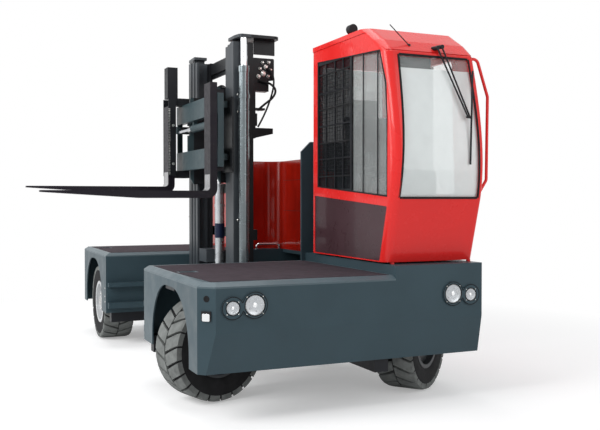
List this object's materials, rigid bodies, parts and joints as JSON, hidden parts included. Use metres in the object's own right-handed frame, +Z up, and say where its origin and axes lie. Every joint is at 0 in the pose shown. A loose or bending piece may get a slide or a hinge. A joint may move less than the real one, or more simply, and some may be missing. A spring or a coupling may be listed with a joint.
{
  "type": "electric sideloader",
  "caption": "Electric side-loading forklift with a front corner cab, load decks before and behind a reach mast in the well between them, and forks to the side.",
  "frame": {"origin": "middle of the whole machine's footprint, on the ground (bottom centre of its box, forks and grab rail counted)", "axes": "+Z up; +Y towards the rear, so the machine drives forward along -Y; -X is the load side that the forks point to, +X the cab side"},
  "size_m": [3.4329, 4.999, 3.206],
  "materials": {
    "chassis_paint": "satin teal-grey coat",
    "deck_coat": "dark anti-slip coat",
    "cab_red": "gloss red coat",
    "dark_panel": "dark gloss",
    "black_steel": "satin black coat",
    "mast_grey": "satin grey coat",
    "fork_steel": "dark coat worn at the heel",
    "cylinder_steel": "bright metal",
    "chrome_rod": "polished",
    "tyre_rubber": "matt",
    "rim_paint": "silver coat",
    "clear_glass": "clear",
    "lamp_glass": "clear",
    "black_plastic": "fine grain",
    "seat_cloth": "woven"
  },
  "bodies": {
    "chassis": {"main_frame": "black_steel", "front_body": "chassis_paint", "rear_body": "chassis_paint", "front_deck": "deck_coat", "rear_deck": "deck_coat", "cab_plinth": "chassis_paint", "cab_steps": "black_steel", "guide_rails": "chassis_paint", "bulkhead": "chassis_paint", "power_hood": "cab_red", "battery_block": "black_steel", "hood_step": "chrome_rod", "rear_axle": "black_steel", "headlamp_bezels": "black_plastic", "headlamp_lenses": "lamp_glass", "work_lamps": "black_plastic", "roof_fittings": "black_plastic", "cab_floor": "black_plastic", "cab_frame": "cab_red", "cab_roof": "cab_red", "cab_glass": "clear_glass", "side_panel": "dark_panel", "window_guard": "black_steel", "handrail": "cab_red", "wiper": "black_plastic", "seat_base": "black_plastic", "seat_cushion": "seat_cloth", "seat_back": "seat_cloth", "steering_console": "black_plastic", "armrest_console": "black_plastic"},
    "front_load_steering": {"knuckle_front_load": "black_steel"},
    "front_cab_steering": {"knuckle_front_cab": "black_steel"},
    "mast_trolley": {"mast_carriage": "black_steel"},
    "mast": {"mast_outer": "mast_grey", "lift_cylinders": "cylinder_steel"},
    "middle_stage": {"mast_middle": "mast_grey", "lift_rods": "chrome_rod"},
    "inner_stage": {"mast_inner": "mast_grey", "free_lift_cylinder": "cylinder_steel"},
    "chain_head": {"free_lift_rod": "chrome_rod"},
    "lift_carriage": {"fork_carriage": "chassis_paint"},
    "near_fork_slide": {"near_fork": "fork_steel"},
    "far_fork_guide": {"fork_guide": "black_steel", "positioner_rod": "chrome_rod"},
    "far_fork_slide": {"far_fork": "fork_steel"},
    "door": {"cab_door": "cab_red", "door_glass": "clear_glass"},
    "wheel_front_load": {"tyre_front_load": "tyre_rubber", "rim_front_load": "rim_paint"},
    "wheel_front_cab": {"tyre_front_cab": "tyre_rubber", "rim_front_cab": "rim_paint"},
    "wheel_rear_load": {"tyre_rear_load": "tyre_rubber", "rim_rear_load": "rim_paint"},
    "wheel_rear_cab": {"tyre_rear_cab": "tyre_rubber", "rim_rear_cab": "rim_paint"}
  },
  "joints": [
    {"name": "steer_front_load", "type": "hinge", "parent": "chassis", "child": "front_load_steering", "pos_m": [-0.49846, -1.5705, 0.427], "axis": [0, 0, 1], "range_deg": [-5, 155]},
    {"name": "spin_front_load", "type": "hinge", "parent": "front_load_steering", "child": "wheel_front_load", "pos_m": [-0.49846, -1.5705, 0.427], "axis": [0.2588, -0.9659, 0], "continuous": true},
    {"name": "steer_front_cab", "type": "hinge", "parent": "chassis", "child": "front_cab_steering", "pos_m": [1.21554, -1.9035, 0.427], "axis": [0, 0, 1], "range_deg": [-26, 134]},
    {"name": "spin_front_cab", "type": "hinge", "parent": "front_cab_steering", "child": "wheel_front_cab", "pos_m": [1.21554, -1.9035, 0.427], "axis": [0.5878, -0.809, 0], "continuous": true},
    {"name": "spin_rear_load", "type": "hinge", "parent": "chassis", "child": "wheel_rear_load", "pos_m": [-0.63746, 1.7835, 0.427], "axis": [1, 0, 0], "continuous": true},
    {"name": "spin_rear_cab", "type": "hinge", "parent": "chassis", "child": "wheel_rear_cab", "pos_m": [1.34054, 1.7835, 0.427], "axis": [1, 0, 0], "continuous": true},
    {"name": "mast_reach", "type": "slide", "parent": "chassis", "child": "mast_trolley", "axis": [1, 0, 0], "range_m": [-0.56, 0.86]},
    {"name": "mast_tilt", "type": "hinge", "parent": "mast_trolley", "child": "mast", "pos_m": [0.16154, 0.18, 0.47], "axis": [0, 1, 0], "range_deg": [-3, 3]},
    {"name": "stage_lift", "type": "slide", "parent": "mast", "child": "middle_stage", "axis": [0, 0, 1], "range_m": [0, 1.3]},
    {"name": "inner_lift", "type": "slide", "parent": "middle_stage", "child": "inner_stage", "axis": [0, 0, 1], "range_m": [0, 1.3]},
    {"name": "carriage_lift", "type": "slide", "parent": "inner_stage", "child": "lift_carriage", "axis": [0, 0, 1], "range_m": [-1.43, 0.4]},
    {"name": "chain_head_lift", "type": "slide", "parent": "inner_stage", "child": "chain_head", "axis": [0, 0, 1], "range_m": [-0.715, 0.2]},
    {"name": "near_fork_shift", "type": "slide", "parent": "lift_carriage", "child": "near_fork_slide", "axis": [0, 1, 0], "range_m": [0, 0.25]},
    {"name": "far_fork_shift", "type": "slide", "parent": "lift_carriage", "child": "far_fork_guide", "axis": [0, 1, 0], "range_m": [-0.25, 0]},
    {"name": "far_fork_level", "type": "slide", "parent": "far_fork_guide", "child": "far_fork_slide", "axis": [0, 0, 1], "range_m": [-0.1, 0.08]},
    {"name": "door_hinge", "type": "hinge", "parent": "chassis", "child": "door", "pos_m": [1.56454, -1.2095, 2.1], "axis": [0, 0, 1], "range_deg": [0, 85]}
  ],
  "couplings": [
    {"joint": "inner_lift", "follows": "stage_lift", "ratio": 1},
    {"joint": "chain_head_lift", "follows": "carriage_lift", "ratio": 0.5}
  ]
}
